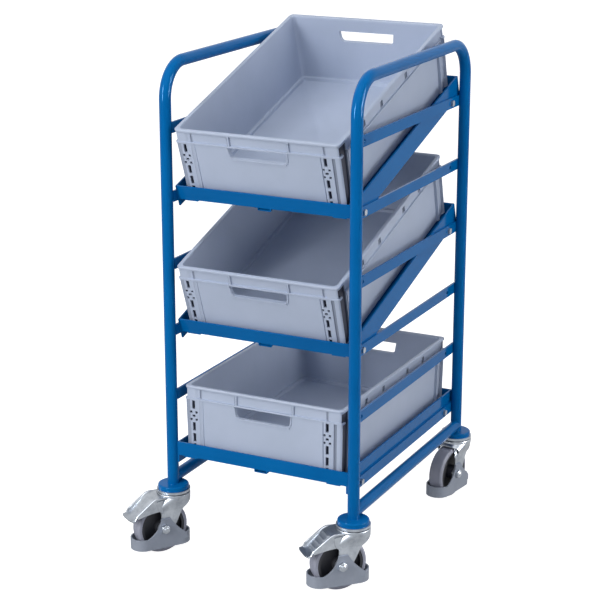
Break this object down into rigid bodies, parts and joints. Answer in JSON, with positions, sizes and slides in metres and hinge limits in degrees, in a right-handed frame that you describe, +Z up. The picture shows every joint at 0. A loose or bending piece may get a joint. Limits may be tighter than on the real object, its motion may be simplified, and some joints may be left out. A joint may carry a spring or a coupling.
{
  "type": "bin trolley",
  "caption": "Tiered trolley of bent steel tube that carries open plastic bins on bolted trays, the upper ones sloped to the front, on swivel casters with foot brakes.",
  "frame": {"origin": "on the floor, midway between the four posts", "axes": "+Z up, +Y from the front (brake pedals) to the rear, +X to the right side seen from the front"},
  "size_m": [0.5951, 0.7698, 1.1865],
  "materials": {
    "frame_blue": "glossy blue powder coat",
    "bin_grey": "satin moulded grey polypropylene",
    "zinc": "bright zinc plate",
    "bearing_steel": "ground steel",
    "guard_grey": "matt grey plastic",
    "tread_grey": "non-marking grey rubber",
    "core_black": "black moulded plastic"
  },
  "bodies": {
    "root": {"bottom_tray_end_bars": "frame_blue", "bottom_tray_side_plates": "frame_blue", "bottom_tray_supports": "frame_blue", "caster_flanges": "frame_blue", "king_bolts": "zinc", "left_hoop": "frame_blue", "left_lower_tube": "frame_blue", "left_rails": "frame_blue", "middle_tray_end_bars": "frame_blue", "middle_tray_side_plates": "frame_blue", "middle_tray_supports": "frame_blue", "post_plugs": "zinc", "right_hoop": "frame_blue", "right_lower_tube": "frame_blue", "right_rails": "frame_blue", "swivel_dishes": "zinc", "top_tray_end_bars": "frame_blue", "top_tray_side_plates": "frame_blue", "top_tray_supports": "frame_blue", "tray_bolts": "zinc", "tray_nuts": "zinc", "tray_washers": "zinc"},
    "top_bin": {"top_bin": "bin_grey"},
    "middle_bin": {"middle_bin": "bin_grey"},
    "bottom_bin": {"bottom_bin": "bin_grey"},
    "front_left_swivel": {"front_left_fork": "zinc", "front_left_ball_ring": "bearing_steel", "front_left_foot_guard": "guard_grey", "front_left_axle": "zinc", "front_left_pedal_pin": "zinc"},
    "front_left_wheel": {"front_left_wheel_core": "core_black", "front_left_tyre": "tread_grey", "front_left_wheel_bearings": "bearing_steel"},
    "front_left_pedal": {"front_left_brake_pedal": "zinc", "front_left_brake_shoe": "core_black"},
    "front_right_swivel": {"front_right_fork": "zinc", "front_right_ball_ring": "bearing_steel", "front_right_foot_guard": "guard_grey", "front_right_axle": "zinc", "front_right_pedal_pin": "zinc"},
    "front_right_wheel": {"front_right_wheel_core": "core_black", "front_right_tyre": "tread_grey", "front_right_wheel_bearings": "bearing_steel"},
    "front_right_pedal": {"front_right_brake_pedal": "zinc", "front_right_brake_shoe": "core_black"},
    "rear_left_swivel": {"rear_left_fork": "zinc", "rear_left_ball_ring": "bearing_steel", "rear_left_foot_guard": "guard_grey", "rear_left_axle": "zinc"},
    "rear_left_wheel": {"rear_left_wheel_core": "core_black", "rear_left_tyre": "tread_grey", "rear_left_wheel_bearings": "bearing_steel"},
    "rear_right_swivel": {"rear_right_fork": "zinc", "rear_right_ball_ring": "bearing_steel", "rear_right_foot_guard": "guard_grey", "rear_right_axle": "zinc"},
    "rear_right_wheel": {"rear_right_wheel_core": "core_black", "rear_right_tyre": "tread_grey", "rear_right_wheel_bearings": "bearing_steel"}
  },
  "joints": [
    {"name": "top_bin_lift", "type": "slide", "parent": "root", "child": "top_bin", "axis": [0, -0.3074, 0.9516], "range_m": [0, 0.4]},
    {"name": "middle_bin_lift", "type": "slide", "parent": "root", "child": "middle_bin", "axis": [0, -0.3074, 0.9516], "range_m": [0, 0.1]},
    {"name": "bottom_bin_lift", "type": "slide", "parent": "root", "child": "bottom_bin", "axis": [0, 0, 1], "range_m": [0, 0.1]},
    {"name": "front_left_swivel_turn", "type": "hinge", "parent": "root", "child": "front_left_swivel", "pos_m": [-0.231, -0.307, 0.15], "axis": [0, 0, 1], "continuous": true},
    {"name": "front_left_wheel_roll", "type": "hinge", "parent": "front_left_swivel", "child": "front_left_wheel", "pos_m": [-0.25194, -0.3369, 0.0625], "axis": [0.8192, -0.5736, 0], "continuous": true},
    {"name": "front_left_pedal_press", "type": "hinge", "parent": "front_left_swivel", "child": "front_left_pedal", "pos_m": [-0.24362, -0.32502, 0.1271], "axis": [0.8192, -0.5736, 0], "range_deg": [0, 7.2]},
    {"name": "front_right_swivel_turn", "type": "hinge", "parent": "root", "child": "front_right_swivel", "pos_m": [0.231, -0.307, 0.15], "axis": [0, 0, 1], "continuous": true},
    {"name": "front_right_wheel_roll", "type": "hinge", "parent": "front_right_swivel", "child": "front_right_wheel", "pos_m": [0.20564, -0.33326, 0.0625], "axis": [0.7193, -0.6947, 0], "continuous": true},
    {"name": "front_right_pedal_press", "type": "hinge", "parent": "front_right_swivel", "child": "front_right_pedal", "pos_m": [0.21572, -0.32282, 0.1271], "axis": [0.7193, -0.6947, 0], "range_deg": [0, 7.2]},
    {"name": "rear_left_swivel_turn", "type": "hinge", "parent": "root", "child": "rear_left_swivel", "pos_m": [-0.231, 0.307, 0.15], "axis": [0, 0, 1], "continuous": true},
    {"name": "rear_left_wheel_roll", "type": "hinge", "parent": "rear_left_swivel", "child": "rear_left_wheel", "pos_m": [-0.24925, 0.27539, 0.0625], "axis": [0.866, -0.5, 0], "continuous": true},
    {"name": "rear_right_swivel_turn", "type": "hinge", "parent": "root", "child": "rear_right_swivel", "pos_m": [0.231, 0.307, 0.15], "axis": [0, 0, 1], "continuous": true},
    {"name": "rear_right_wheel_roll", "type": "hinge", "parent": "rear_right_swivel", "child": "rear_right_wheel", "pos_m": [0.22529, 0.27095, 0.0625], "axis": [0.9877, -0.1564, 0], "continuous": true}
  ]
}
